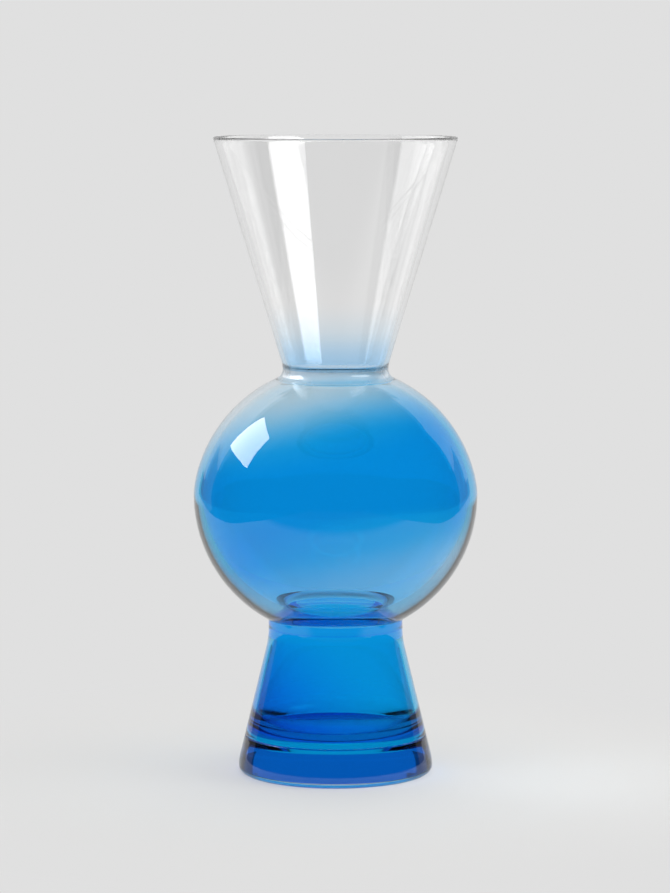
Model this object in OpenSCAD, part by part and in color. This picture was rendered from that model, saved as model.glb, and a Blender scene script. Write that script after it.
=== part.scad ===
// A tall glass vase of three blown bodies, one above the other: a hollow foot on a thick slab,
// a globe and an open trumpet mouth. Clear glass outside, a thin layer of blue glass inside.
// Millimetres, +Z up. The origin is the middle of the flat underside.

/* [Mouth funnel] */
// Outer diameter at the lip
rim_d = 134; // [100:1:180]
// Thickness of the wall at the lip, measured level
rim_wall = 4.6; // [3:0.1:8]
// Height from the neck ring to the lip
funnel_h = 126.4; // [80:0.2:200]
// Rounding of the two edges of the flame-polished lip
lip_round = 1.1; // [0.4:0.1:1.4]
// Height of the blend between the neck and the cone
flare_rise = 1.8; // [0.6:0.1:5]

/* [Neck ring] */
// Outer diameter of the neck
neck_d = 58; // [44:0.5:76]
// Thickness of the wall round the neck
neck_wall = 3.2; // [2:0.1:5]
// Height of the ring that welds the funnel to the globe
neck_ring_h = 4; // [2:0.5:10]

/* [Globe] */
// Widest diameter of the globe
globe_d = 155.8; // [120:0.2:190]
// Radius of the girdle, the arc that joins the bowl to the crown
girdle_r = 38; // [20:1:48]
// How far the centre of the crown's arc lies below the bowl's
crown_drop = 7.5; // [1:0.1:14]
// Thickness of the whole wall at the globe's widest line
globe_wall = 3.7; // [2.5:0.1:6]
// How far the hollow's bowl is raised, so that the wall thickens towards the waist
settled_glass = 3.5; // [0:0.1:8]
// Thickness of the blue layer inside
globe_lining_t = 1.2; // [0.6:0.1:1.8]

/* [Waist ring] */
// Outer diameter of the waist
waist_d = 73.8; // [60:0.2:90]
// Height of the wafer of glass between the globe and the foot
waist_ring_h = 5; // [3:0.5:14]
// Diameter of the passage from the globe into the foot
throat_d = 52; // [30:0.5:56]

/* [Foot] */
// Widest diameter, near the table
foot_d = 107; // [95:0.5:140]
// Height of the foot with its slab
foot_h = 80.5; // [60:0.5:120]
// Thickness of the foot's whole wall
foot_wall = 2.9; // [2.2:0.1:5]
// Thickness of the blue layer inside the foot
foot_lining_t = 1.1; // [0.6:0.1:1.5]
// Rounding between the inner floor and the wall
floor_round = 11.5; // [4:0.5:16]
// Radius of the swell that brings the cone upright near the table
swell_r = 26; // [12:1:48]
// Height of the blend between the cone and the waist ring
shoulder_rise = 5.5; // [1:0.1:8]

/* [Base slab] */
// Thickness of the solid slab
base_h = 21; // [12:0.5:30]
// Rounding of the edge on the table
base_round = 4; // [1:0.1:6]
// Rounding of both edges along the seam between the slab and the foot
seam_round = 0.45; // [0.2:0.05:0.8]

/* [Hidden] */
$fn = 96;
// How far a cut runs past what it cuts
overrun = 1;
// How far a rounding's circle stands past the sides that it meets, so that it crosses them
proud = 0.002;
clear_glass = [0.86, 0.9, 0.93, 0.35];
blue_glass = [0.0, 0.42, 0.85, 0.6];
deep_glass = [0.0, 0.33, 0.76, 0.6];
ring_glass = [0.45, 0.68, 0.9, 0.5];

rim_r = rim_d / 2;
neck_r = neck_d / 2;
waist_r = waist_d / 2;
foot_r = foot_d / 2;
throat_r = throat_d / 2;
neck_bore_r = neck_r - neck_wall;

// Heights of the joints, from the table up
waist_z = foot_h + waist_ring_h;
globe_r = globe_d / 2;
girdle_centre = [globe_r - girdle_r, 0];
crown_r = girdle_r + norm([girdle_centre.x, crown_drop]);
widest_z = waist_z + sqrt(pow(globe_r, 2) - pow(waist_r, 2));
globe_top_z = widest_z - crown_drop + sqrt(pow(crown_r, 2) - pow(neck_r, 2));
neck_top_z = globe_top_z + neck_ring_h;
total_h = neck_top_z + funnel_h;

// The foot's cone runs from the shoulder down to where it touches the swell's circle
swell_centre = [foot_r - swell_r, base_round];
shoulder = [waist_r, foot_h - shoulder_rise];
to_shoulder = shoulder - swell_centre;
foot_lean = atan2(to_shoulder.y, to_shoulder.x) - acos(swell_r / norm(to_shoulder));
down_foot = [sin(foot_lean), -cos(foot_lean)];
swell_corner = [foot_r, base_round + swell_r * tan(foot_lean / 2)];
function foot_cone_r(z) = waist_r + (shoulder.y - z) * tan(foot_lean);
seam = [foot_cone_r(base_h), base_h];

// The funnel's cone starts at the flare, above the neck ring
flare = [neck_r, neck_top_z + flare_rise];
funnel_lean = atan2(rim_r - neck_r, total_h - flare.y);
up_funnel = [sin(funnel_lean), cos(funnel_lean)];

// What rounding a corner to radius r takes away, run past the corner and its sides by the overrun
module corner_waste(corner, side_a, side_b, r) {
    a = side_a / norm(side_a);
    b = side_b / norm(side_b);
    half_angle = acos(a * b) / 2;
    reach = r / tan(half_angle);
    centre = corner + (a + b) / norm(a + b) * r / sin(half_angle);
    grow = 1 + overrun / r;
    kite = [corner + a * reach, corner, corner + b * reach];
    difference() {
        polygon(concat([centre], [for (p = kite) centre + (p - centre) * grow]));
        translate(centre) circle(r + proud);
    }
}

// A rectangle from the axis out to r, between two heights
module slice(r, z_low, z_high) {
    translate([0, z_low]) square([r, z_high - z_low]);
}

// Half of the foot's outer outline, from the table up to the waist ring. A circle hollows the
// chord between the cone and the waist.
module foot_outline() {
    blend_r = shoulder_rise / tan(foot_lean / 2);
    difference() {
        polygon([
            [0, 0], [foot_r, 0], swell_corner, shoulder + shoulder_rise * down_foot,
            [waist_r, foot_h], [0, foot_h]
        ]);
        corner_waste([foot_r, 0], [-1, 0], [0, 1], base_round);
        corner_waste(swell_corner, [0, -1], -down_foot, swell_r);
        translate([waist_r + blend_r, foot_h]) circle(blend_r + proud);
    }
}

// Half of the hollow inside the foot, grown by a layer's thickness. A cut rises past the foot.
module foot_hollow(grown, rise) {
    floor_z = base_h + foot_lining_t - grown;
    top_z = foot_h + rise;
    inset = (foot_wall - grown) / cos(foot_lean);
    low = [foot_cone_r(floor_z) - inset, floor_z];
    high = [foot_cone_r(top_z) - inset, top_z];
    difference() {
        polygon([[0, floor_z], low, high, [0, top_z]]);
        corner_waste(low, [-1, 0], -down_foot, floor_round + grown);
    }
}

// The globe's section, set in from its outside by a layer's depth: a half round bowl, the girdle
// and the flatter crown, each tangent to the next. The bowl can be raised.
module globe_section(inset, bowl_lift) {
    arc_r = girdle_r - inset;
    crown_centre = [0, -crown_drop];
    bowl_centre = [0, bowl_lift];
    to_crown = girdle_centre - crown_centre;
    to_bowl = girdle_centre - bowl_centre;
    translate([0, widest_z]) difference() {
        intersection() {
            translate(crown_centre) circle(arc_r + norm(to_crown));
            translate(bowl_centre) circle(arc_r + norm(to_bowl));
        }
        difference() {
            polygon([
                girdle_centre,
                girdle_centre + to_crown / norm(to_crown) * globe_d,
                girdle_centre + to_bowl / norm(to_bowl) * globe_d
            ]);
            translate(girdle_centre) circle(arc_r + proud);
        }
    }
}

// Half of the globe's outer outline, between its two joints
module globe_outline() {
    intersection() {
        globe_section(0, 0);
        slice(globe_d, waist_z, globe_top_z);
    }
}

// The outline of the hollow inside the globe, grown by a layer's thickness
module globe_hollow(grown) {
    globe_section(globe_wall - grown, settled_glass);
}

// Half of the two passages that open the globe to the neck and to the foot
module passages() {
    slice(throat_r, waist_z - overrun, widest_z);
    slice(neck_bore_r, widest_z, globe_top_z + overrun);
}

// The solid slab that the vase stands on
module base_slab() {
    color(deep_glass) rotate_extrude()
        difference() {
            intersection() {
                foot_outline();
                slice(foot_r, 0, base_h);
            }
            corner_waste(seam, [-1, 0], down_foot, seam_round);
        }
}

// The clear outer wall of the foot, thick in its lower corner
module foot_casing() {
    color(clear_glass) rotate_extrude()
        difference() {
            foot_outline();
            translate([0, -overrun]) square([foot_r + overrun, base_h + overrun]);
            foot_hollow(foot_lining_t, overrun);
            corner_waste(seam, [-1, 0], -down_foot, seam_round);
        }
}

// The blue cup inside the foot
module foot_lining() {
    color(blue_glass) rotate_extrude()
        difference() {
            foot_hollow(foot_lining_t, 0);
            foot_hollow(0, overrun);
        }
}

// The wafer that joins the foot to the globe
module waist_ring() {
    color(ring_glass) rotate_extrude()
        translate([throat_r, foot_h]) square([waist_r - throat_r, waist_ring_h]);
}

// The clear outer wall of the globe, thicker towards the waist
module globe_casing() {
    color(clear_glass) rotate_extrude()
        difference() {
            globe_outline();
            globe_hollow(globe_lining_t);
            passages();
        }
}

// The blue layer inside the globe
module globe_lining() {
    color(blue_glass) rotate_extrude()
        difference() {
            intersection() {
                globe_hollow(globe_lining_t);
                globe_outline();
            }
            globe_hollow(0);
            passages();
        }
}

// The ring that welds the funnel to the globe
module neck_ring() {
    color(ring_glass) rotate_extrude()
        translate([neck_bore_r, globe_top_z]) square([neck_wall, neck_ring_h]);
}

// The clear trumpet-shaped mouth. A circle hollows the chord between the neck and the cone.
module mouth_funnel() {
    blend_r = flare_rise / tan(funnel_lean / 2);
    lip_out = [rim_r, total_h];
    lip_in = [rim_r - rim_wall, total_h];
    bore_top = [neck_bore_r, neck_top_z];
    color(clear_glass) rotate_extrude()
        difference() {
            polygon([
                bore_top, [neck_r, neck_top_z], flare + flare_rise * up_funnel, lip_out, lip_in
            ]);
            corner_waste(lip_out, -up_funnel, [-1, 0], lip_round);
            corner_waste(lip_in, bore_top - lip_in, [1, 0], lip_round);
            translate([neck_r + blend_r, neck_top_z]) circle(blend_r + proud);
        }
}

base_slab();
foot_casing();
foot_lining();
waist_ring();
globe_casing();
globe_lining();
neck_ring();
mouth_funnel();
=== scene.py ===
# %% [markdown]
# # A blue and clear glass vase
# The vase is three blown bodies, one above the other: a hollow foot on a thick slab, a globe and an
# open trumpet mouth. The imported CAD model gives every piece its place. This lesson dresses each
# piece in finer glass, then adds the table, the lamps and the camera.

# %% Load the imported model
import math

import bpy
import numpy as np
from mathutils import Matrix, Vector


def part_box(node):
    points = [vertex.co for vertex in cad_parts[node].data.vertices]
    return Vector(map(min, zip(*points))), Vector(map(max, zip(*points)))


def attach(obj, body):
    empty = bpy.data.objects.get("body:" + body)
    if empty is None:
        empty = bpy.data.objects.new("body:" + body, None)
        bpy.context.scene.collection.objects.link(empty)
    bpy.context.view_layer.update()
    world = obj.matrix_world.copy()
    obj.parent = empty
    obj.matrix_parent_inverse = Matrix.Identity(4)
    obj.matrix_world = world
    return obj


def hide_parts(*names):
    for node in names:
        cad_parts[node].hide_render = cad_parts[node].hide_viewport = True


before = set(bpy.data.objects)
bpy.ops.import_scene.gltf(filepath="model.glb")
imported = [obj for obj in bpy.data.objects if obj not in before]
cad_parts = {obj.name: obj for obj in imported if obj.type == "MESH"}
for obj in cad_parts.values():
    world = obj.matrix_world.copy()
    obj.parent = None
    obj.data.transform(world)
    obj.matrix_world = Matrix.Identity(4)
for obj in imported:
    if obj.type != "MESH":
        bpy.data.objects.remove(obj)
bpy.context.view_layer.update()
print("CAD nodes:", sorted(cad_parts))

# %% [markdown]
# ## The camera
# The photograph was taken with a long lens from about two metres, a little above the mouth. The
# vertical lines barely converge, which a long lens gives. The lens stands for the whole picture
# height, so the numbers hold for any picture size.

# %% Set up the camera
CAMERA_DISTANCE = 1.953
CAMERA_HEIGHT = 0.391
CAMERA_SIDESTEP = -0.0003
CAMERA_TILT = 0.1073     # radians below the horizon
LENS, SENSOR = 144.3, 36     # millimetres

camera = bpy.data.objects.new("camera", bpy.data.cameras.new("camera"))
camera.data.lens = LENS
camera.data.sensor_width = SENSOR
camera.location = (CAMERA_SIDESTEP, -CAMERA_DISTANCE, CAMERA_HEIGHT)
camera.rotation_euler = (math.pi / 2 - CAMERA_TILT, 0, 0)
bpy.context.scene.collection.objects.link(camera)
bpy.context.scene.camera = camera
bpy.context.scene.view_settings.view_transform = "Standard"
print("camera:", camera.data.lens, "mm lens,", CAMERA_DISTANCE, "m away")

# %% [markdown]
# ## Sizes
# The CAD model has these sizes in millimetres. They are repeated here, because the finer surfaces
# are worked out from the same circles and lines. Two differ: the globe's hollow is raised by 4.75
# instead of 3.5, and the throat's radius is 28 instead of 26. Both follow the photograph's lines.

# %% Name the sizes
MM = 0.001
rim_r, rim_wall, funnel_h, lip_round, flare_rise = 67, 4.6, 126.4, 1.1, 1.8
neck_r, neck_wall, neck_ring_h = 29, 3.2, 4
globe_r, girdle_r, crown_drop = 77.9, 38, 7.5
globe_wall, settled_glass, globe_lining_t = 3.7, 4.75, 1.2
waist_r, waist_ring_h, throat_r = 36.9, 5, 28
foot_r, foot_h, foot_wall, foot_lining_t = 53.5, 80.5, 2.9, 1.1
floor_round, swell_r, shoulder_rise = 11.5, 26, 5.5
base_h, base_round, seam_round = 21, 4, 0.45

neck_bore_r = neck_r - neck_wall
waist_z = foot_h + waist_ring_h
girdle = np.array([globe_r - girdle_r, 0.0])
crown_r = girdle_r + np.hypot(girdle[0], crown_drop)
widest_z = waist_z + math.sqrt(globe_r**2 - waist_r**2)
globe_top_z = widest_z - crown_drop + math.sqrt(crown_r**2 - neck_r**2)
neck_top_z = globe_top_z + neck_ring_h
total_h = neck_top_z + funnel_h
print("total height:", round(total_h, 3), "mm")
for node in sorted(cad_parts):
    low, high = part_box(node)
    print(f"  {node}: z {low.z / MM:.2f} to {high.z / MM:.2f}, radius {high.x / MM:.2f}")

# %% [markdown]
# ## Profiles
# Every piece is turned on one axis, so its shape is a closed line in the half plane of radius and
# height. A line is built from straight runs and circular arcs. Each run says which glass it shows:
# the polished skin, which meets air, a weld, where the glass runs on into the next piece or layer,
# or one of two special faces, such as a softly rounded edge.

# %% Write the profile helpers
SKIN, WELD, THIRD, FOURTH = 0, 1, 2, 3     # places in a piece's list of glasses
FINE_TURN = 2.0          # degrees between the points of an arc
HAIR = 0.02              # a tinted layer's face stays this far from the piece that it touches


def point(*values):
    """A point (radius, height) as an array."""
    return np.array(values, float)


def unit(angle):
    """The unit vector at an angle in degrees, counted from outward up."""
    return np.array([math.cos(math.radians(angle)), math.sin(math.radians(angle))])


def arc(centre, radius, start, end, turn=FINE_TURN):
    """Points centre + radius * (cos t, sin t), with t from start to end in degrees."""
    count = max(3, int(math.ceil(abs(end - start) / turn)) + 1)
    t = np.radians(np.linspace(start, end, count))
    return np.asarray(centre) + radius * np.stack([np.cos(t), np.sin(t)], axis=1)


def line(start, end, count=2):
    """Evenly spaced points from start to end."""
    return np.linspace(np.asarray(start, float), np.asarray(end, float), count)


print("a quarter circle has", len(arc((0, 0), 1, 0, 90)), "points")

# %% [markdown]
# ## Turning a profile
# The surface is the profile carried round the axis: x = r cos a, y = r sin a, z = z, with the angle
# a on one axis of a grid and the profile's points on the other. A point on the axis becomes one
# pole. Blender's Screw modifier could turn the line too. Here the whole grid is worked out at once,
# so each run can have its own glass, and the creases between runs can be marked sharp.

# %% Write the turning function
AROUND = 256
ON_AXIS = 1e-9           # a radius under this, in millimetres, is on the axis


def turn(name, runs, materials):
    """Turn a closed profile about the Z axis: (r, z) becomes (r cos a, r sin a, z).

    runs is a list of (points in mm, kind, crease): kind is the run's place in materials, and
    crease says that the run starts at a sharp edge. Each run starts at the point where the one
    before it ends. The last run ends where the first starts, or both ends lie on the axis.
    """
    rings, kinds, sharp = [runs[0][0][:1]], [], [False]
    for points, kind, crease in runs:
        rings.append(points[1:])
        sharp[-1] = sharp[-1] or crease
        sharp.extend([False] * (len(points) - 1))
        kinds.extend([kind] * (len(points) - 1))
    profile = np.concatenate(rings)
    closed = profile[0, 0] > ON_AXIS
    if closed:
        profile, sharp = profile[:-1], sharp[:-1]
    count = len(profile)
    angle = np.arange(AROUND) * 2 * np.pi / AROUND
    on_axis = profile[:, 0] < ON_AXIS
    size = np.where(on_axis, 1, AROUND)
    first = np.concatenate([[0], np.cumsum(size)[:-1]])
    index = first[:, None] + np.where(on_axis[:, None], 0, np.arange(AROUND)[None, :])
    x = profile[:, :1] * np.cos(angle)
    y = profile[:, :1] * np.sin(angle)
    z = np.broadcast_to(profile[:, 1:], x.shape)
    grid = np.stack([x, y, z], axis=2) * MM
    vertices = np.zeros((size.sum(), 3))
    vertices[index.ravel()] = grid.reshape(-1, 3)
    lower = np.arange(count if closed else count - 1)
    upper = (lower + 1) % count
    here, ahead = index, np.roll(index, -1, axis=1)
    quads = np.stack([here[lower], ahead[lower], ahead[upper], here[upper]], axis=2)
    area = np.sum(profile[lower, 0] * profile[upper, 1] - profile[upper, 0] * profile[lower, 1])
    if area < 0:
        quads = quads[:, :, ::-1]
    faces = [[v for k, v in enumerate(quad) if v != quad[k - 1]]
             for quad in quads.reshape(-1, 4).tolist()]
    mesh = bpy.data.meshes.new(name)
    mesh.from_pydata(vertices.tolist(), [], faces)
    for material in materials:
        mesh.materials.append(material)
    kind = np.repeat(np.array(kinds)[lower], AROUND).astype(np.int32)
    mesh.polygons.foreach_set("material_index", kind)
    mesh.polygons.foreach_set("use_smooth", np.ones(len(faces), bool))
    ring_of = np.repeat(np.arange(count), size)
    ends = np.zeros(len(mesh.edges) * 2, np.int32)
    mesh.edges.foreach_get("vertices", ends)
    a, b = ring_of[ends[0::2]], ring_of[ends[1::2]]
    edge_marks = mesh.attributes.new("sharp_edge", "BOOLEAN", "EDGE")
    edge_marks.data.foreach_set("value", (a == b) & np.array(sharp, bool)[a])
    mesh.update()
    piece = bpy.data.objects.new(name, mesh)
    bpy.context.scene.collection.objects.link(piece)
    print(f"{name}: {count} points round {AROUND} steps, {len(faces)} faces")
    return piece


# %% [markdown]
# ## The tint
# A blower gathers a little blue glass and blows it out, so its colour is strong low in the globe
# and almost gone at the neck. The colour could be a volume that absorbs light, but a tinted surface
# renders faster and can be baked. The tint is a colour that fades with height, in a shader group
# that all the glasses share.

# %% Write the fading tint
CLOUD_SCALE, CLOUD_DETAIL = 10.0, 3


def group_socket(group, name, kind, into=True):
    """Add one named socket to a shader node group."""
    group.interface.new_socket(name, in_out="INPUT" if into else "OUTPUT",
                               socket_type="NodeSocket" + kind)


def fading_tint():
    """Group: the tint goes from Deep over Middle to Pale between the heights Low and High.

    The height is tilted sideways and clouded a little. Below Under High it fades into Under,
    painted light: the pale table's reflection in the lower globe.
    """
    group = bpy.data.node_groups.new("fading_tint", "ShaderNodeTree")
    for name in ("Deep", "Middle", "Pale", "Under"):
        group_socket(group, name, "Color")
    for name in ("Low", "High", "Tilt", "Cloud", "Under Low", "Under High"):
        group_socket(group, name, "Float")
    group_socket(group, "Color", "Color", into=False)
    nodes, links = group.nodes, group.links
    inputs = nodes.new("NodeGroupInput").outputs
    place = nodes.new("ShaderNodeTexCoord")
    split = nodes.new("ShaderNodeSeparateXYZ")
    links.new(place.outputs["Object"], split.inputs[0])
    slope = nodes.new("ShaderNodeMath")
    slope.operation = "MULTIPLY_ADD"
    links.new(split.outputs["X"], slope.inputs[0])
    links.new(inputs["Tilt"], slope.inputs[1])
    links.new(split.outputs["Z"], slope.inputs[2])
    cloud = nodes.new("ShaderNodeTexNoise")
    cloud.inputs["Scale"].default_value = CLOUD_SCALE
    cloud.inputs["Detail"].default_value = CLOUD_DETAIL
    links.new(place.outputs["Object"], cloud.inputs["Vector"])
    centred = nodes.new("ShaderNodeMath")
    centred.operation = "SUBTRACT"
    centred.inputs[1].default_value = 0.5
    links.new(cloud.outputs[0], centred.inputs[0])
    height = nodes.new("ShaderNodeMath")
    height.operation = "MULTIPLY_ADD"
    links.new(centred.outputs[0], height.inputs[0])
    links.new(inputs["Cloud"], height.inputs[1])
    links.new(slope.outputs[0], height.inputs[2])
    share = nodes.new("ShaderNodeMapRange")
    share.interpolation_type = "SMOOTHSTEP"
    links.new(height.outputs[0], share.inputs["Value"])
    links.new(inputs["Low"], share.inputs["From Min"])
    links.new(inputs["High"], share.inputs["From Max"])
    lower, upper = nodes.new("ShaderNodeMapRange"), nodes.new("ShaderNodeMapRange")
    for half, start, end in ((lower, 0.0, 0.5), (upper, 0.5, 1.0)):
        half.inputs["From Min"].default_value = start
        half.inputs["From Max"].default_value = end
        links.new(share.outputs[0], half.inputs["Value"])
    first, second = nodes.new("ShaderNodeMix"), nodes.new("ShaderNodeMix")
    for mix in (first, second):
        mix.data_type = "RGBA"
    links.new(lower.outputs[0], first.inputs["Factor"])
    links.new(inputs["Deep"], first.inputs["A"])
    links.new(inputs["Middle"], first.inputs["B"])
    links.new(upper.outputs[0], second.inputs["Factor"])
    links.new(first.outputs["Result"], second.inputs["A"])
    links.new(inputs["Pale"], second.inputs["B"])
    above = nodes.new("ShaderNodeMapRange")
    above.interpolation_type = "SMOOTHSTEP"
    links.new(height.outputs[0], above.inputs["Value"])
    links.new(inputs["Under Low"], above.inputs["From Min"])
    links.new(inputs["Under High"], above.inputs["From Max"])
    whole = nodes.new("ShaderNodeMix")
    whole.data_type = "RGBA"
    links.new(above.outputs[0], whole.inputs["Factor"])
    links.new(inputs["Under"], whole.inputs["A"])
    links.new(second.outputs["Result"], whole.inputs["B"])
    output = nodes.new("NodeGroupOutput")
    links.new(whole.outputs["Result"], output.inputs["Color"])
    return group


tint_group = fading_tint()
print(tint_group.name, "has", len(tint_group.nodes), "nodes")

# %% [markdown]
# ## The ripple and the haze
# Blown glass has slow waves, longer round the wall than up it, and a surface that was handled isn't
# perfectly sharp. Modelled waves would need a far finer mesh, so noise gives both: one bends the
# normal through a Bump node, and the other sets the roughness.

# %% Write the ripple and the haze
WAVE_SCALE, WAVE_DETAIL, WAVE_STRETCH = 18.0, 1.0, 2.2
HAZE_SCALE, HAZE_DETAIL = 60, 4


def blown_ripple():
    """Group: slow waves round the wall from the blowing, and the slight haze of handling."""
    group = bpy.data.node_groups.new("blown_ripple", "ShaderNodeTree")
    group_socket(group, "Haze", "Float")
    group_socket(group, "Height", "Float", into=False)
    group_socket(group, "Roughness", "Float", into=False)
    nodes, links = group.nodes, group.links
    inputs = nodes.new("NodeGroupInput").outputs
    place = nodes.new("ShaderNodeTexCoord")
    stretch = nodes.new("ShaderNodeMapping")
    stretch.inputs["Scale"].default_value = (1, 1, WAVE_STRETCH)
    links.new(place.outputs["Object"], stretch.inputs["Vector"])
    wave = nodes.new("ShaderNodeTexNoise")
    wave.inputs["Scale"].default_value = WAVE_SCALE
    wave.inputs["Detail"].default_value = WAVE_DETAIL
    links.new(stretch.outputs[0], wave.inputs["Vector"])
    haze = nodes.new("ShaderNodeTexNoise")
    haze.inputs["Scale"].default_value = HAZE_SCALE
    haze.inputs["Detail"].default_value = HAZE_DETAIL
    links.new(place.outputs["Object"], haze.inputs["Vector"])
    rough = nodes.new("ShaderNodeMath")
    rough.operation = "MULTIPLY"
    links.new(haze.outputs[0], rough.inputs[0])
    links.new(inputs["Haze"], rough.inputs[1])
    output = nodes.new("NodeGroupOutput")
    links.new(wave.outputs[0], output.inputs["Height"])
    links.new(rough.outputs[0], output.inputs["Roughness"])
    return group


ripple_group = blown_ripple()
print(ripple_group.name, "has", len(ripple_group.nodes), "nodes")

# %% [markdown]
# ## Glass
# One recipe makes every glass: a Principled surface with full transmission and the refraction of
# soda glass. A Glass shader would bend light the same way, but Principled also holds the values
# that other programs read. Light that only casts a shadow goes straight through with a tint,
# because a path tracer finds lamps behind curved glass too rarely.

# %% Write the glass recipe
GLASS_IOR = 1.5
INSIDE = 1.0             # light is tinted but not bent
RIPPLE = 0.00003         # height of the waves, in metres
HANDLED = 0.02           # haze of a skin that was only handled
CLEAR = (1.0, 1.0, 1.0)
THIN_SHADE = (0.985, 0.985, 0.985)     # what a face lets through where it casts a shadow


def glass(name, deep, pale=None, low=0.0, high=1.0, middle=None, tilt=0.0, cloud=0.0,
          ripple=RIPPLE, haze=HANDLED, shade=THIN_SHADE, ior=GLASS_IOR, under=None,
          under_low=-2.0, under_high=-1.0):
    """A glass whose tint fades from deep at low to pale at high, in metres, or stays deep."""
    material = bpy.data.materials.new(name)
    material.use_nodes = True
    nodes, links = material.node_tree.nodes, material.node_tree.links
    nodes.clear()
    tint = nodes.new("ShaderNodeGroup")
    tint.node_tree = tint_group
    pale = pale or deep
    middle = middle or tuple((a + b) / 2 for a, b in zip(deep, pale))
    for socket, colour in (("Deep", deep), ("Middle", middle), ("Pale", pale),
                           ("Under", under or deep)):
        tint.inputs[socket].default_value = (*colour, 1)
    for socket, value in (("Low", low), ("High", high), ("Tilt", tilt), ("Cloud", cloud),
                          ("Under Low", under_low), ("Under High", under_high)):
        tint.inputs[socket].default_value = value
    wave = nodes.new("ShaderNodeGroup")
    wave.node_tree = ripple_group
    wave.inputs["Haze"].default_value = haze
    bump = nodes.new("ShaderNodeBump")
    bump.inputs["Strength"].default_value = 1.0
    bump.inputs["Distance"].default_value = ripple
    links.new(wave.outputs["Height"], bump.inputs["Height"])
    body = nodes.new("ShaderNodeBsdfPrincipled")
    body.inputs["IOR"].default_value = ior
    body.inputs["Transmission Weight"].default_value = 1.0
    links.new(tint.outputs["Color"], body.inputs["Base Color"])
    links.new(wave.outputs["Roughness"], body.inputs["Roughness"])
    links.new(bump.outputs["Normal"], body.inputs["Normal"])
    through = nodes.new("ShaderNodeBsdfTransparent")
    through.inputs["Color"].default_value = (*shade, 1)
    path = nodes.new("ShaderNodeLightPath")
    choose = nodes.new("ShaderNodeMixShader")
    links.new(path.outputs["Is Shadow Ray"], choose.inputs[0])
    links.new(body.outputs[0], choose.inputs[1])
    links.new(through.outputs[0], choose.inputs[2])
    output = nodes.new("ShaderNodeOutputMaterial")
    links.new(choose.outputs[0], output.inputs["Surface"])
    return material


def weld_joint():
    """The place where two pieces run into each other: nothing is there for light to bend at."""
    material = bpy.data.materials.new("weld")
    material.use_nodes = True
    nodes = material.node_tree.nodes
    nodes.clear()
    through = nodes.new("ShaderNodeBsdfTransparent")
    output = nodes.new("ShaderNodeOutputMaterial")
    material.node_tree.links.new(through.outputs[0], output.inputs["Surface"])
    return material


# %% [markdown]
# ## The vase's glasses
# The casings and the funnel are clear, the globe's lining fades from blue to clear, and the foot
# and the slab are a deeper blue. Where one layer was gathered over another, light is tinted and
# isn't bent, because the glass runs on. The inner faces at the waist don't bend it either, which
# makes the waist look as solid as in the photograph. The small rounded edges are hazed, because
# clear ones would show as hard dark lines.

# %% Make the glasses
# Below these heights the lower globe is painted paler: a painted reflection of the pale table.
LOWER_GLOBE_REFLECTION = dict(under_low=0.100, under_high=0.132)     # heights of the painted reflection, in metres
GLOBE_TINT = dict(deep=(0.02, 0.63, 1.0), middle=(0.45, 0.80, 1.0), pale=(0.90, 0.98, 1.0),
                  low=0.176, high=0.218, tilt=-0.22, cloud=0.012, under=(0.60, 0.86, 1.0),
                  **LOWER_GLOBE_REFLECTION)
FOOT_TINT = dict(deep=(0.01, 0.42, 0.96), middle=(0.01, 0.58, 1.0), pale=(0.03, 0.68, 1.0),
                 low=-0.03, high=0.08, tilt=1.1, cloud=0.02)
CASING_TINT = dict(deep=(0.86, 0.90, 1.0), pale=(0.92, 0.95, 1.0), low=0.08, high=0.22)
FUNNEL_TINT = dict(deep=(0.62, 0.83, 1.0), middle=(0.88, 0.95, 1.0), pale=CLEAR,
                   low=0.222, high=0.262)
NECK_TINT = (0.93, 0.96, 1.0)
LAYER = dict(ior=INSIDE, ripple=0.0)
FOOT_SHADE = (0.93, 0.93, 0.94)
SLAB_SHADE = (0.72, 0.73, 0.75)

clear_glass = glass("clear_glass", **CASING_TINT)
casing_glass = glass("casing_glass", **CASING_TINT, under=(0.32, 0.72, 1.0), **LOWER_GLOBE_REFLECTION)
funnel_glass = glass("funnel_glass", **FUNNEL_TINT)
bore_glass = glass("bore_glass", **FUNNEL_TINT, haze=0.6)
lip_glass = glass("lip_glass", CLEAR, haze=0.6)
neck_glass = glass("neck_glass", NECK_TINT)
neck_edge_glass = glass("neck_edge_glass", NECK_TINT, haze=0.7)
globe_blue = glass("globe_blue", **GLOBE_TINT)
globe_layer = glass("globe_layer", **GLOBE_TINT, **LAYER)
throat_blue = glass("throat_blue", (0.32, 0.82, 1.0), haze=1.0)
waist_glass = glass("waist_glass", (0.12, 0.62, 0.98))
waist_edge = glass("waist_edge", (0.03, 0.60, 1.0), **LAYER)
foot_blue = glass("foot_blue", **FOOT_TINT, shade=FOOT_SHADE)
foot_layer = glass("foot_layer", **FOOT_TINT, **LAYER)
foot_corner = glass("foot_corner", **FOOT_TINT, shade=FOOT_SHADE, haze=0.3)
shoulder_blue = glass("shoulder_blue", **FOOT_TINT, **LAYER)
slab_blue = glass("slab_blue", (0.0, 0.13, 0.64), (0.0, 0.14, 0.66), 0.0, 0.02, shade=SLAB_SHADE)
slab_layer = glass("slab_layer", (0.0, 0.45, 0.95), **LAYER)
slab_ring = glass("slab_ring", (0.0, 0.15, 0.62), **LAYER)
slab_base = glass("slab_base", (0.80, 0.90, 1.0))
weld = weld_joint()
print("glasses:", [m.name for m in bpy.data.materials if m.use_nodes])

# %% [markdown]
# ## The foot's lines
# The foot is a hollow cone on a solid slab. Its outside has a small rounding at the table, a swell,
# a straight cone and a hollow blend into the waist. The lines could be drawn by hand as curves, but
# worked out from tangents they repeat the CAD solid's outline exactly, with finer arcs.

# %% Work out the foot's lines
to_shoulder = point(waist_r, foot_h - shoulder_rise) - point(foot_r - swell_r, base_round)
foot_lean = math.degrees(math.atan2(to_shoulder[1], to_shoulder[0])
                         - math.acos(swell_r / np.linalg.norm(to_shoulder)))
lean = math.radians(foot_lean)


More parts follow.
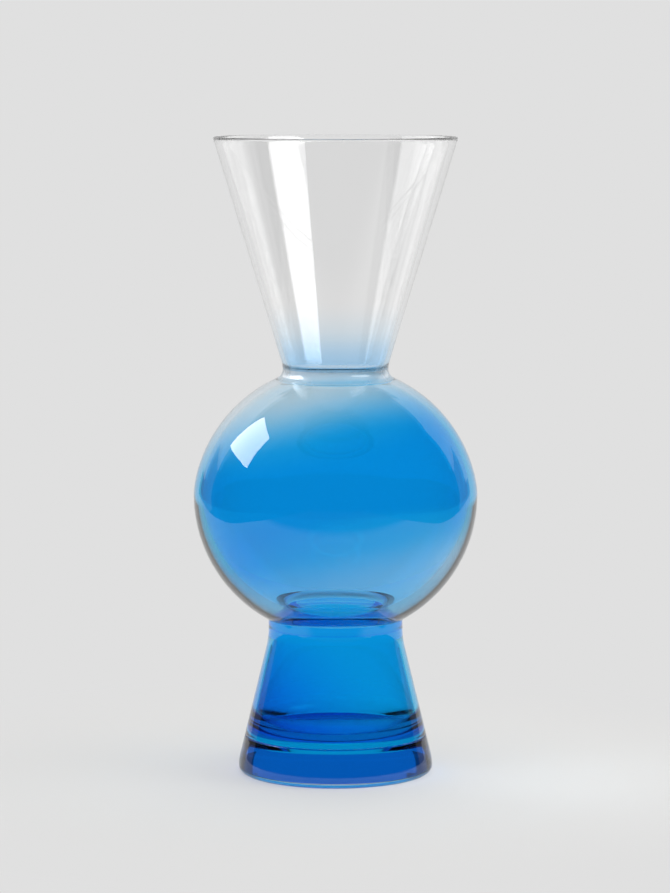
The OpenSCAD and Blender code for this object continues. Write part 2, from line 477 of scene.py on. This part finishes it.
def cone_r(z):
    """Radius of the foot's cone at height z."""
    return waist_r + (foot_h - shoulder_rise - z) * math.tan(lean)


def fillet(corner, side_a, side_b, radius, turn=10.0):
    """Arc of the given radius tangent to both sides of a corner, from side_a to side_b."""
    a = np.asarray(side_a, float) / np.linalg.norm(side_a)
    b = np.asarray(side_b, float) / np.linalg.norm(side_b)
    half = math.acos(a @ b) / 2
    centre = np.asarray(corner) + (a + b) / np.linalg.norm(a + b) * radius / math.sin(half)
    start = np.asarray(corner) + a * radius / math.tan(half) - centre
    end = np.asarray(corner) + b * radius / math.tan(half) - centre
    first = math.degrees(math.atan2(start[1], start[0]))
    sweep = math.degrees(math.atan2(start[0] * end[1] - start[1] * end[0], start @ end))
    return arc(centre, radius, first, first + sweep, turn)


down_foot = point(math.sin(lean), -math.cos(lean))
seam = point(cone_r(base_h), base_h)
print("foot leans", round(foot_lean, 3), "degrees; seam radius", round(seam[0], 3), "mm")

# %% [markdown]
# ## The hollow in the foot
# Inside, a large arc leads from the floor to the wall. Two low rings on the floor show as a light
# double line. They could be a bump in the material, but a bell curve on the profile's height takes
# one line of code, and it stays with the mesh when the vase is exported.

# %% Work out the hollow
BEADS = (30.2, 31.8)     # radii of the two low rings on the inner floor
BEAD_H, BEAD_W = 0.12, 0.45


def hollow_line(grown):
    """The hollow's rounded corner between floor and wall, and its top, grown by a layer."""
    floor_z = base_h + foot_lining_t - grown
    inset = (foot_wall - grown) / math.cos(lean)
    low = point(cone_r(floor_z) - inset, floor_z)
    high = point(cone_r(foot_h) - inset, foot_h)
    return fillet(low, (-1, 0), -down_foot, floor_round + grown, 3.0), high


def rise(points):
    """Lift a floor's points by the beads, each a bell curve round its own radius."""
    lifted = np.array(points, float)
    for bead_r in BEADS:
        lifted[:, 1] += BEAD_H * np.exp(-((lifted[:, 0] - bead_r) / BEAD_W) ** 2)
    return lifted


outer_corner, outer_high = hollow_line(foot_lining_t)
layer_corner, layer_high = hollow_line(foot_lining_t - HAIR)
inner_corner, _ = hollow_line(0)
inner_floor = line(inner_corner[0], (0, base_h + foot_lining_t), 80)
print("flat inner floor: radius", round(inner_corner[0, 0], 2), "mm")

# %% [markdown]
# ## The slab
# The vase stands on a thick slab of deep blue glass with a ground underside. It is one closed form.
# Its upper face is two glasses, because the ring under the foot's thick corner looks darker than
# the floor that is seen through the hollow.

# %% Turn the slab
FLOOR_EDGE = 34.0        # outside this radius the foot's thick corner stands on the slab
GROUND_END = -12         # degrees; the ground underside ends here on the edge's rounding
slab_edge = arc((foot_r - base_round, base_round), base_round, -90, GROUND_END, 6.0)
slab_side = np.concatenate([
    arc((foot_r - base_round, base_round), base_round, GROUND_END, 0, 6.0),
    arc((foot_r - swell_r, base_round), swell_r, 0, foot_lean, 1.0)[1:],
])
slab_top = fillet(seam, down_foot, (-1, 0), seam_round, 12.0)
slab_skin = np.concatenate([slab_side, line(slab_side[-1], slab_top[0], 8)[1:], slab_top[1:]])
slab_seam = np.concatenate([
    slab_top[-1:], line(slab_top[-1] - (HAIR, HAIR), (FLOOR_EDGE, base_h - HAIR), 6)])
base_slab = turn("slab", [
    (np.concatenate([line((0, 0), slab_edge[0], 12), slab_edge[1:]]), THIRD, False),
    (slab_skin, SKIN, False),
    (slab_seam, FOURTH, True),
    (line((FLOOR_EDGE, base_h - HAIR), (0, base_h - HAIR), 12), WELD, False),
], [slab_blue, slab_layer, slab_base, slab_ring])

# %% [markdown]
# ## The inner shoulder
# At the waist the foot's wall turns inwards in a soft shoulder and then runs up into the throat.
# The shoulder crosses the joint between the foot and the waist ring, so it is drawn whole and then
# cut at the joint's height.

# %% Draw the inner shoulder
SHOULDER_LOW, SHOULDER_HIGH = 76.0, 82.0
LOW_ROUND, HIGH_ROUND = 2.0, 1.5


def cut_at(points, away):
    """Split a line where a signed distance changes sign. Both halves have the crossing point."""
    k = int(np.flatnonzero(np.sign(away[1:]) != np.sign(away[:-1]))[0])
    share = away[k] / (away[k] - away[k + 1])
    crossing = points[k] + share * (points[k + 1] - points[k])
    return (np.concatenate([points[:k + 1], [crossing]]),
            np.concatenate([[crossing], points[k + 1:]]))


wall_end = point(cone_r(SHOULDER_LOW) - foot_wall / math.cos(lean), SHOULDER_LOW)
throat_start = point(throat_r, SHOULDER_HIGH)
inner_shoulder = np.concatenate([
    fillet(wall_end, down_foot, throat_start - wall_end, LOW_ROUND, 4.0),
    fillet(throat_start, wall_end - throat_start, (0, 1), HIGH_ROUND, 5.0),
])
lining_shoulder, ring_shoulder = cut_at(inner_shoulder, inner_shoulder[:, 1] - foot_h)
print("inner shoulder: radius", round(wall_end[0], 2), "to", throat_r, "mm")

# %% [markdown]
# ## The foot's wall
# A cup of blue glass fills a casing of clear glass. One form with two colours would show no clear
# band at the edge, so the two are closed forms of their own. A hair's breadth lies between them,
# because a renderer can't tell which of two faces in the same place comes first.

# %% Turn the foot's casing and lining
casing_low = fillet(seam, (-1, 0), -down_foot, seam_round, 12.0)
blend_r = shoulder_rise / math.tan(lean / 2)
blend = arc((waist_r + blend_r, foot_h), blend_r, 180 + foot_lean, 180, 1.5)
foot_casing = turn("foot_casing_glass", [
    (np.concatenate([casing_low, line(casing_low[-1], blend[0], 40)[1:], blend[1:]]), SKIN, True),
    (line(blend[-1], outer_high, 3), WELD, True),
    (np.concatenate([line(outer_high, outer_corner[-1], 40), outer_corner[::-1][1:]]), WELD, True),
    (line(outer_corner[0], casing_low[0], 6), WELD, True),
], [clear_glass, weld])
foot_lining = turn("foot_lining_glass", [
    (np.concatenate([line((0, base_h + HAIR), layer_corner[0], 12), layer_corner[1:],
                     line(layer_corner[-1], layer_high, 40)[1:]]), WELD, False),
    (line(layer_high, lining_shoulder[-1], 4), WELD, True),
    (lining_shoulder[::-1], FOURTH, True),
    (line(lining_shoulder[0], inner_corner[-1], 40), SKIN, False),
    (inner_corner[::-1], THIRD, False),
    (np.concatenate([inner_floor[:1], rise(inner_floor)[1:]]), SKIN, False),
], [foot_blue, foot_layer, foot_corner, shoulder_blue])

# %% [markdown]
# ## The waist ring
# A wafer of glass joins the foot to the globe. Its two flat faces are welds, so only its outer edge
# and the throat are seen. It stays a form of its own, because it is a lighter band on the vase.

# %% Turn the waist ring
waist_ring = turn("waist_ring_glass", [
    (line(ring_shoulder[0], (waist_r, foot_h), 4), WELD, True),
    (line((waist_r, foot_h), (waist_r, waist_z), 6), SKIN, True),
    (line((waist_r, waist_z), (throat_r, waist_z), 6), WELD, True),
    (np.concatenate([[(throat_r, waist_z)], ring_shoulder[::-1]]), THIRD, True),
], [waist_glass, weld, waist_edge])

# %% [markdown]
# ## The globe
# The globe isn't a ball. Its bowl, its girdle and its flatter crown are three arcs, each tangent to
# the next. A squashed sphere would come near, but it would miss the fuller shoulder. The inner
# lines are the same arcs, set in by the wall, with the bowl raised where the glass settled.

# %% Work out the globe's section
GLOBE_TURN = 0.8         # degrees between the points of the globe's arcs


def crown_arc(inset):
    """Radius of the crown's arc, set in by a depth: the girdle's radius plus the way to it."""
    return girdle_r - inset + np.linalg.norm(girdle + (0, crown_drop))


def bowl_arc(inset, lift):
    """Radius of the bowl's arc, set in by a depth and lifted, worked out the same way."""
    return girdle_r - inset + np.linalg.norm(girdle - (0, lift))


def globe_line(inset, lift, low_end, high_end):
    """The arcs of bowl, girdle and crown, set in by a depth, from one end point up to the other."""
    crown, bowl = point(0, -crown_drop), point(0, lift)
    crown_turn = math.degrees(math.atan2(*(girdle - crown)[::-1]))
    bowl_turn = math.degrees(math.atan2(*(girdle - bowl)[::-1]))
    low = math.degrees(math.atan2(low_end[1] - widest_z - lift, low_end[0]))
    high = math.degrees(math.atan2(high_end[1] - widest_z + crown_drop, high_end[0]))
    section = np.concatenate([
        arc(bowl, bowl_arc(inset, lift), low, bowl_turn, GLOBE_TURN),
        arc(girdle, girdle_r - inset, bowl_turn, crown_turn, GLOBE_TURN)[1:],
        arc(crown, crown_arc(inset), crown_turn, high, GLOBE_TURN)[1:],
    ])
    return section + (0, widest_z)


def crown_height(inset, r):
    """Height at which the crown's arc, set in by a depth, has radius r."""
    return widest_z - crown_drop + math.sqrt(crown_arc(inset)**2 - r**2)


def bowl_height(inset, lift, r):
    """Height at which the bowl's arc, set in by a depth and lifted, has radius r."""
    return widest_z + lift - math.sqrt(bowl_arc(inset, lift)**2 - r**2)


print("globe is widest at", round(widest_z, 3), "mm; crown's arc", round(crown_arc(0), 3), "mm")

# %% [markdown]
# ## The edges where the globe opens
# The fire rounds every edge of hot glass. A Bevel modifier could do that on one piece, but these
# roundings run on across the joints between pieces. So each is drawn whole and then cut where it
# meets the joint or the layer.

# %% Round the edges where the globe opens
THROAT_ROUND = 3.0       # the throat's edge in the globe's floor
NECK_ROUND = 7.5         # the neck's passage
NECK_FILLET = 6.0        # outside, between the neck ring and the globe
wall_mid = globe_wall - globe_lining_t
crown_centre, bowl_centre = point(0, widest_z - crown_drop), point(0, widest_z + settled_glass)
bore_edge = point(neck_bore_r, crown_height(globe_wall, neck_bore_r))
across_crown = (bore_edge - crown_centre) / np.linalg.norm(bore_edge - crown_centre)
neck_edge = fillet(bore_edge, (0, 1), (across_crown[1], -across_crown[0]), NECK_ROUND, 2.5)
ring_edge, below_ring = cut_at(neck_edge, neck_edge[:, 1] - globe_top_z)
casing_edge, lining_edge = cut_at(
    below_ring, np.linalg.norm(below_ring - crown_centre, axis=1) - crown_arc(wall_mid))
throat_top = point(throat_r, bowl_height(globe_wall, settled_glass, throat_r))
across_bowl = (throat_top - bowl_centre) / np.linalg.norm(throat_top - bowl_centre)
throat_edge = fillet(throat_top, (0, -1), (-across_bowl[1], across_bowl[0]), THROAT_ROUND, 6.0)
to_throat = np.linalg.norm(throat_edge - bowl_centre, axis=1)
casing_throat, lining_throat = cut_at(
    throat_edge, to_throat - bowl_arc(wall_mid, settled_glass))
fillet_centre = point(neck_r + NECK_FILLET, crown_centre[1] + math.sqrt(
    (crown_r + NECK_FILLET)**2 - (neck_r + NECK_FILLET)**2))
to_crown = crown_centre - fillet_centre
fillet_end = 360 + math.degrees(math.atan2(to_crown[1], to_crown[0]))
joint_angle = 180 + math.degrees(math.asin((fillet_centre[1] - globe_top_z) / NECK_FILLET))
ring_fillet = arc(fillet_centre, NECK_FILLET, joint_angle, 180, 4.0)
crown_fillet = arc(fillet_centre, NECK_FILLET, fillet_end, joint_angle, 4.0)
outside = globe_line(0, 0, (waist_r, waist_z), crown_fillet[0])
middle = globe_line(wall_mid, settled_glass, casing_throat[-1], casing_edge[-1])
layer = globe_line(wall_mid + HAIR, settled_glass, lining_throat[0], lining_edge[0])
inside = globe_line(globe_wall, settled_glass, lining_throat[-1], lining_edge[-1])
print("globe's wall at the widest line:", round(outside[:, 0].max() - inside[:, 0].max(), 2), "mm")

# %% Turn the globe's casing and lining
globe_casing = turn("globe_casing_glass", [
    (np.concatenate([outside[:-1], crown_fillet]), SKIN, True),
    (line(crown_fillet[-1], casing_edge[0], 3), WELD, True),
    (casing_edge, FOURTH, True),
    (np.concatenate([casing_edge[-1:], middle[::-1][1:-1], casing_throat[-1:]]), WELD, True),
    (np.concatenate([casing_throat[::-1], [(throat_r, waist_z)]]), THIRD, True),
    (line((throat_r, waist_z), (waist_r, waist_z), 6), WELD, True),
], [casing_glass, weld, throat_blue, neck_edge_glass])
globe_lining = turn("globe_lining_glass", [
    (np.concatenate([lining_throat[:1], layer[1:-1], lining_edge[:1]]), WELD, True),
    (np.concatenate([lining_edge[:-1], inside[-1:]]), FOURTH, True),
    (inside[::-1], SKIN, False),
    (np.concatenate([inside[:1], lining_throat[::-1][1:]]), THIRD, False),
], [globe_blue, globe_layer, throat_blue, neck_edge_glass])

# %% [markdown]
# ## The neck and the mouth
# A short ring of glass welds the clear trumpet to the globe. The trumpet is a straight cone with a
# flame-polished lip. Two straight lines would meet in a hard edge inside the neck, so the passage
# widens in one long blend. It crosses the ring's upper face and is split there.

# %% Work out the funnel's lines
BORE_BLEND = 8.0         # radius of the inner blend between the neck and the cone
NEAR = 0.01              # points this near the ring's upper face give way to the joint
funnel_lean = math.degrees(math.atan2(rim_r - neck_r, total_h - neck_top_z - flare_rise))
up_funnel = unit(90 - funnel_lean)
flare_r = flare_rise / math.tan(math.radians(funnel_lean) / 2)
flare = arc((neck_r + flare_r, neck_top_z), flare_r, 180, 180 - funnel_lean, 2.0)
lip_out, lip_in = point(rim_r, total_h), point(rim_r - rim_wall, total_h)
bore_top = point(neck_bore_r, neck_top_z)
lip_outer = fillet(lip_out, -up_funnel, (-1, 0), lip_round, 9.0)
lip_inner = fillet(lip_in, (1, 0), bore_top - lip_in, lip_round, 9.0)
bore_blend = fillet(bore_top, (0, -1), lip_in - bore_top, BORE_BLEND, 1.0)
ring_bore = bore_blend[bore_blend[:, 1] < neck_top_z - NEAR]
cone_bore = bore_blend[bore_blend[:, 1] > neck_top_z + NEAR]
share = (neck_top_z - ring_bore[-1, 1]) / (cone_bore[0, 1] - ring_bore[-1, 1])
bore_joint = ring_bore[-1] + share * (cone_bore[0] - ring_bore[-1])
print("funnel leans", round(funnel_lean, 3), "degrees; joint at", bore_joint.round(3), "mm")

# %% Turn the neck ring and the funnel
neck_ring = turn("neck_ring_glass", [
    (line(ring_edge[-1], ring_fillet[0], 3), WELD, True),
    (np.concatenate([ring_fillet, line(ring_fillet[-1], (neck_r, neck_top_z), 3)[1:]]),
     SKIN, True),
    (line((neck_r, neck_top_z), bore_joint, 3), WELD, True),
    (np.concatenate([[bore_joint], ring_bore[::-1], ring_edge]), THIRD, True),
], [neck_glass, weld, neck_edge_glass])
mouth_funnel = turn("mouth_funnel_glass", [
    (np.concatenate([flare, line(flare[-1], lip_outer[0], 60)[1:]]), SKIN, True),
    (np.concatenate([lip_outer, line(lip_outer[-1], lip_inner[0], 4)[1:], lip_inner[1:]]),
     THIRD, False),
    (line(lip_inner[-1], cone_bore[-1], 60), SKIN, False),
    (np.concatenate([cone_bore[::-1], [bore_joint]]), FOURTH, False),
    (line(bore_joint, (neck_r, neck_top_z), 3), WELD, True),
], [funnel_glass, weld, lip_glass, bore_glass])

# %% [markdown]
# ## What the pieces stand for
# Each turned form takes the place of one CAD piece, which is hidden. It rides on the vase's one
# body.

# %% Say what each piece stands for
for piece, node, slot in (
    (base_slab, "base_slab", "slab_glass"),
    (foot_casing, "foot_casing", "clear_glass"),
    (foot_lining, "foot_lining", "blue_glass"),
    (waist_ring, "waist_ring", "ring_glass"),
    (globe_casing, "globe_casing", "clear_glass"),
    (globe_lining, "globe_lining", "blue_glass"),
    (neck_ring, "neck_ring", "ring_glass"),
    (mouth_funnel, "mouth_funnel", "clear_glass"),
):
    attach(piece, "root")
    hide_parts(node)
    print(f"{piece.name} stands for {node}")

# %% [markdown]
# ## The table and the room
# A pale sheet lies on the table and curves up behind the vase. Near the vase it is a plain matt
# surface that takes the shadow, and further out it is as bright as the photograph's background.
# A flat table and a separate wall would show a line between them, and the photograph has none.

# %% Work out the sheet
TABLE_FRONT, BACK, BEND, SWEEP_HIGH = 1.5, 2.2, 0.5, 2.6
TABLE_SIDE, FAN_LEFT, FAN_RIGHT = 0.55, 0.42, 0.60
SHEET_GAP = 0.0001       # the polished underside doesn't touch the sheet everywhere


def sheet_grid():
    """A sweep: flat on the table, then a quarter circle up, then upright.

    Behind the vase it widens like a fan: each side is TABLE_SIDE plus its share of the depth.
    """
    path = np.concatenate([
        line((-TABLE_FRONT, 0), (BACK - BEND, 0), 60),
        arc((BACK - BEND, BEND), BEND, -90, 0, 6.0)[1:],
        line((BACK, BEND), (BACK, SWEEP_HIGH), 6)[1:],
    ])
    side = np.linspace(-1, 1, 41)
    x, k = np.meshgrid(side, np.arange(len(path)))
    widen = np.where(side < 0, FAN_LEFT, FAN_RIGHT)
    x = x * (TABLE_SIDE + widen * np.maximum(path[k, 0], 0))
    return np.stack([x, path[k, 0], path[k, 1] - SHEET_GAP], axis=2)


def panel_grid(left, right, low, high, y):
    """An upright rectangle that faces the vase."""
    x, z = np.meshgrid([left, right], [low, high])
    return np.stack([x, np.full_like(x, y), z], axis=2)


def sheet_object(name, grid, material):
    """A mesh of quads over a grid of points."""
    rows, columns = grid.shape[:2]
    index = np.arange(rows * columns).reshape(rows, columns)
    faces = np.stack([index[:-1, :-1], index[:-1, 1:], index[1:, 1:], index[1:, :-1]], axis=2)
    mesh = bpy.data.meshes.new(name)
    mesh.from_pydata(grid.reshape(-1, 3).tolist(), [], faces.reshape(-1, 4).tolist())
    mesh.polygons.foreach_set("use_smooth", np.ones(len(mesh.polygons), bool))
    mesh.materials.append(material)
    obj = bpy.data.objects.new(name, mesh)
    bpy.context.scene.collection.objects.link(obj)
    return obj


sheet_points = sheet_grid()
print("sheet:", sheet_points.shape[:2], "points")

# %% Write the stage's materials
PALE = 0.745
MATT = (0.71, 0.70645, 0.6958)
MATT_END, BRIGHT_START = 0.13, 0.30     # distances from the vase's foot, in metres
# the bright part fades to dim towards the front: painted shade of the table that lies in the dark
# room
DARK_FRONT, PALE_FRONT, DARK = -0.46, -0.31, 0.08


def one_sided(nodes, links, shader):
    """Show a stage surface from the front only, so that views from behind look through it."""
    facing = nodes.new("ShaderNodeNewGeometry")
    through = nodes.new("ShaderNodeBsdfTransparent")
    choose = nodes.new("ShaderNodeMixShader")
    output = nodes.new("ShaderNodeOutputMaterial")
    links.new(facing.outputs["Backfacing"], choose.inputs[0])
    links.new(shader.outputs[0], choose.inputs[1])
    links.new(through.outputs[0], choose.inputs[2])
    links.new(choose.outputs[0], output.inputs["Surface"])


def sheet_material():
    """Matt near the vase, evenly bright further out, and painted dim towards the front as shade."""
    material = bpy.data.materials.new("pale_sheet")
    material.use_nodes = True
    nodes, links = material.node_tree.nodes, material.node_tree.links
    nodes.clear()
    place = nodes.new("ShaderNodeTexCoord")
    length = nodes.new("ShaderNodeVectorMath")
    length.operation = "LENGTH"
    links.new(place.outputs["Object"], length.inputs[0])
    far = nodes.new("ShaderNodeMapRange")
    far.interpolation_type = "SMOOTHSTEP"
    far.inputs["From Min"].default_value = MATT_END
    far.inputs["From Max"].default_value = BRIGHT_START
    links.new(length.outputs["Value"], far.inputs["Value"])
    split = nodes.new("ShaderNodeSeparateXYZ")
    links.new(place.outputs["Object"], split.inputs[0])
    front = nodes.new("ShaderNodeMapRange")
    front.interpolation_type = "SMOOTHSTEP"
    for socket, value in (("From Min", DARK_FRONT), ("From Max", PALE_FRONT), ("To Min", DARK),
                          ("To Max", PALE)):
        front.inputs[socket].default_value = value
    links.new(split.outputs["Y"], front.inputs["Value"])
    matt = nodes.new("ShaderNodeBsdfDiffuse")
    matt.inputs["Color"].default_value = (*MATT, 1)
    bright = nodes.new("ShaderNodeEmission")
    links.new(front.outputs[0], bright.inputs["Color"])
    choose = nodes.new("ShaderNodeMixShader")
    links.new(far.outputs[0], choose.inputs[0])
    links.new(matt.outputs[0], choose.inputs[1])
    links.new(bright.outputs[0], choose.inputs[2])
    one_sided(nodes, links, choose)
    return material


def glow_material(name, brightness):
    """An evenly bright surface."""
    material = bpy.data.materials.new(name)
    material.use_nodes = True
    nodes = material.node_tree.nodes
    nodes.clear()
    bright = nodes.new("ShaderNodeEmission")
    bright.inputs["Color"].default_value = (brightness, brightness, brightness, 1)
    one_sided(nodes, material.node_tree.links, bright)
    return material


print("sheet's brightness:", PALE)

# %% Lay the sheet
sheet = sheet_object("pale_sheet", sheet_points, sheet_material())
print("sheet:", len(sheet.data.polygons), "faces")

# %% [markdown]
# ## The walls
# In the photograph the glass shows pale walls at both sides of the sheet and dimmer ones below
# them. They stand outside the picture, so only the glass shows them.

# %% Stand the walls beside the sheet
DIM = 0.24
WALL_Y, DIM_WALL_Y = 2.21, 2.25
pale_wall, dim_wall = glow_material("pale_wall", PALE), glow_material("dim_wall", DIM)
for name, left, right, bottom, top, y, material in (
    ("left_wall", -2.1, -1.40, 0.32, 3.2, WALL_Y, pale_wall),
    ("left_wall_high", -4.0, -2.1, 1.1, 3.2, WALL_Y, pale_wall),
    ("right_wall", 1.62, 2.3, 0.32, 3.2, WALL_Y, pale_wall),
    ("right_wall_high", 2.3, 4.0, 1.1, 3.2, WALL_Y, pale_wall),
    ("left_wall_low", -4.0, -1.45, -0.6, 1.1, DIM_WALL_Y, dim_wall),
    ("right_wall_low", 1.75, 4.0, -0.6, 1.1, DIM_WALL_Y, dim_wall),
):
    wall = sheet_object(name, panel_grid(left, right, bottom, top, y), material)
    print(f"{wall.name}: x {left} to {right} m, z {bottom} to {top} m")

# %% [markdown]
# ## Light
# The reflections tell where the lamps stood: a window shaped softbox at the left, one at the right
# in front, and a soft light overhead. Weak fills behind the neck and in front of the mouth keep the
# clear glass pale. Each lamp lights only some of the objects, as it would with flags in front of
# it. The room behind the camera is dark, which keeps the blue deep.

# %% Write the softbox
FIRST_REFLECTION = 2.5   # Cycles counts 2 for it, and more for the ones inside the glass


def softbox(name, azimuth, away, bottom, top, width, radiance, receivers, tip=0.0, once=False):
    """A rectangular lamp that stands upright, faces the vase's axis and is tipped down by tip.

    The azimuth counts from the camera to the right. The power of an even area lamp is
    pi * area * radiance. Receivers limit the lamp to some of the objects, like a flag does. With
    once, the lamp shows in the first reflection only and not in the ones inside the glass.
    """
    a = math.radians(azimuth)
    lamp = bpy.data.objects.new(name, bpy.data.lights.new(name, "AREA"))
    lamp.data.shape = "RECTANGLE"
    lamp.data.size, lamp.data.size_y = width, top - bottom
    lamp.data.energy = math.pi * width * (top - bottom) * radiance
    lamp.location = (away * math.sin(a), -away * math.cos(a), (bottom + top) / 2)
    lamp.rotation_euler = (math.pi / 2 - math.radians(tip), 0, a)
    bpy.context.scene.collection.objects.link(lamp)
    group = bpy.data.collections.new(name + "_receivers")
    for receiver in receivers:
        group.objects.link(receiver)
    lamp.light_linking.receiver_collection = group
    if once:
        lamp.data.use_nodes = True
        nodes, links = lamp.data.node_tree.nodes, lamp.data.node_tree.links
        path = nodes.new("ShaderNodeLightPath")
        first = nodes.new("ShaderNodeMath")
        first.operation = "LESS_THAN"
        first.inputs[1].default_value = FIRST_REFLECTION
        links.new(path.outputs["Ray Depth"], first.inputs[0])
        links.new(first.outputs[0], nodes["Emission"].inputs["Strength"])


# %% Hang the lamps, each by azimuth, distance, bottom, top, width and radiance
body = [globe_casing, waist_ring, foot_casing, foot_lining, base_slab, neck_ring]
softbox("left_softbox", -102, 1.3, 0.77, 1.60, 0.82, 9, body, once=True)
softbox("left_softbox_above", -107, 1.3, 0.76, 1.60, 1.40, 2.4, [mouth_funnel])
softbox("right_softbox", 58, 1.5, 0.70, 1.35, 1.22, 5.2, [mouth_funnel, neck_ring, foot_lining])
softbox("neck_fill_left", -130, 2.3, -1.2, 1.9, 2.8, 0.66, [neck_ring, mouth_funnel])
softbox("neck_fill_right", 130, 2.3, -1.2, 1.9, 2.8, 0.66, [neck_ring, mouth_funnel])
softbox("funnel_fill", 0, 1.6, 0.7, 2.6, 5.5, 0.6, [mouth_funnel])
softbox("table_softbox_high", 0, 0.10, 1.4, 3.0, 1.6, 5.75, [sheet], tip=87)
softbox("table_softbox_right", 75, 2.0, 0.90, 1.70, 1.2, 3.6, [sheet], tip=30)

# %% Darken the room
ROOM = (0.03, 0.03, 0.032, 1)
world = bpy.data.worlds.new("room")
world.use_nodes = True
world.node_tree.nodes["Background"].inputs["Color"].default_value = ROOM
bpy.context.scene.world = world
bpy.context.scene.cycles.transparent_max_bounces = 32     # the welds take many
print("room:", ROOM[:3])
